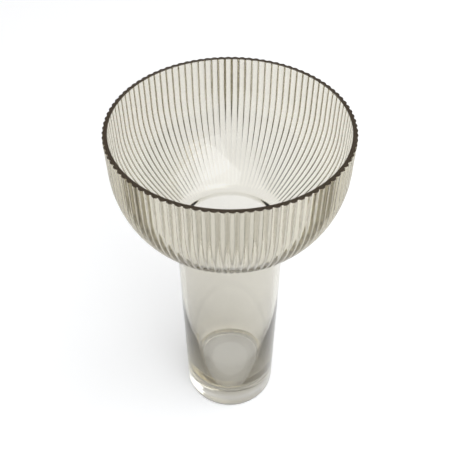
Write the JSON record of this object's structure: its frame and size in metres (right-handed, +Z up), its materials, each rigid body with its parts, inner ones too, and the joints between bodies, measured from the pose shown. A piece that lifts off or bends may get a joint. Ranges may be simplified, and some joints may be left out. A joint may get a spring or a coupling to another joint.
{
  "type": "ribbed glass vase",
  "caption": "Smoke-grey glass vase shaped like a funnel: a round ribbed bowl opens into a straight column on a heavy solid base.",
  "frame": {"origin": "on the floor under the middle of the solid base", "axes": "+Z up along the axis of the column and bowl; the vase is round, so +X and +Y are free"},
  "size_m": [0.167, 0.167, 0.3],
  "materials": {
    "smoke_glass": "polished, with a ground flat rim"
  },
  "bodies": {
    "root": {"heavy_base": "smoke_glass", "column_tube": "smoke_glass", "ribbed_bowl": "smoke_glass"}
  },
  "joints": []
}
